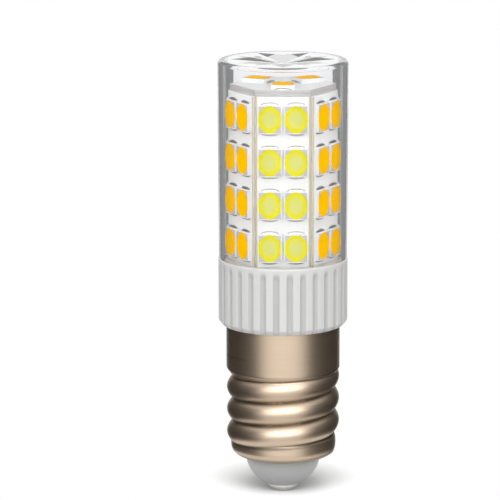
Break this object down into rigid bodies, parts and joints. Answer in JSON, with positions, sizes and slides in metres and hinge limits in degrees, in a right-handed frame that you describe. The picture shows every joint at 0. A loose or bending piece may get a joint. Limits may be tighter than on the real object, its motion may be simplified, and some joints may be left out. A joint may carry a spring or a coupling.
{
  "type": "corn led bulb",
  "caption": "Corn LED bulb: clear cover over a hexagonal column of LED boards, white ribbed body and nickel screw cap with a rolled thread and a centre contact.",
  "frame": {"origin": "end of the centre contact, on the bulb's axis", "axes": "+Z along the axis from the cap to the cover's top, -Y out of the front LED board"},
  "size_m": [0.016, 0.016, 0.054],
  "materials": {
    "nickel_shell": "satin warm nickel plate on drawn sheet",
    "grey_insulator": "smooth translucent grey moulding",
    "contact_metal": "plated, slightly dull",
    "white_ceramic": "fired white, satin, ribbed",
    "clear_plastic": "clear, polished, with a cut star on top",
    "white_board": "white solder mask",
    "led_housing": "pale moulded package",
    "led_phosphor": "yellow silicone with phosphor",
    "solder": "bright tin",
    "green_board": "green solder mask",
    "black_package": "moulded epoxy",
    "capacitor_sleeve": "shrunk sleeve",
    "black_chip": "glazed chip",
    "resistor_coat": "baked coat",
    "blue_wire": "extruded sleeve",
    "red_wire": "extruded sleeve",
    "black_wire": "extruded sleeve"
  },
  "bodies": {
    "root": {"screw_shell": "nickel_shell", "insulator": "grey_insulator", "centre_contact": "contact_metal", "ribbed_body": "white_ceramic", "clear_cover": "clear_plastic", "side_board_1": "white_board", "side_board_2": "white_board", "side_board_3": "white_board", "side_board_4": "white_board", "side_board_5": "white_board", "side_board_6": "white_board", "led_housings_1": "led_housing", "led_housings_2": "led_housing", "led_housings_3": "led_housing", "led_housings_4": "led_housing", "led_housings_5": "led_housing", "led_housings_6": "led_housing", "led_phosphors_1": "led_phosphor", "led_phosphors_2": "led_phosphor", "led_phosphors_3": "led_phosphor", "led_phosphors_4": "led_phosphor", "led_phosphors_5": "led_phosphor", "led_phosphors_6": "led_phosphor", "led_solder_1": "solder", "led_solder_2": "solder", "led_solder_3": "solder", "led_solder_4": "solder", "led_solder_5": "solder", "led_solder_6": "solder", "top_board": "white_board", "led_housings_top": "led_housing", "led_phosphors_top": "led_phosphor", "led_solder_top": "solder", "driver_board": "green_board", "bridge_rectifier": "black_package", "current_regulator": "black_package", "smoothing_capacitor": "capacitor_sleeve", "chip_resistors": "black_chip", "fuse_resistor": "resistor_coat", "neutral_wire": "blue_wire", "positive_lead": "red_wire", "negative_lead": "black_wire"}
  },
  "joints": []
}
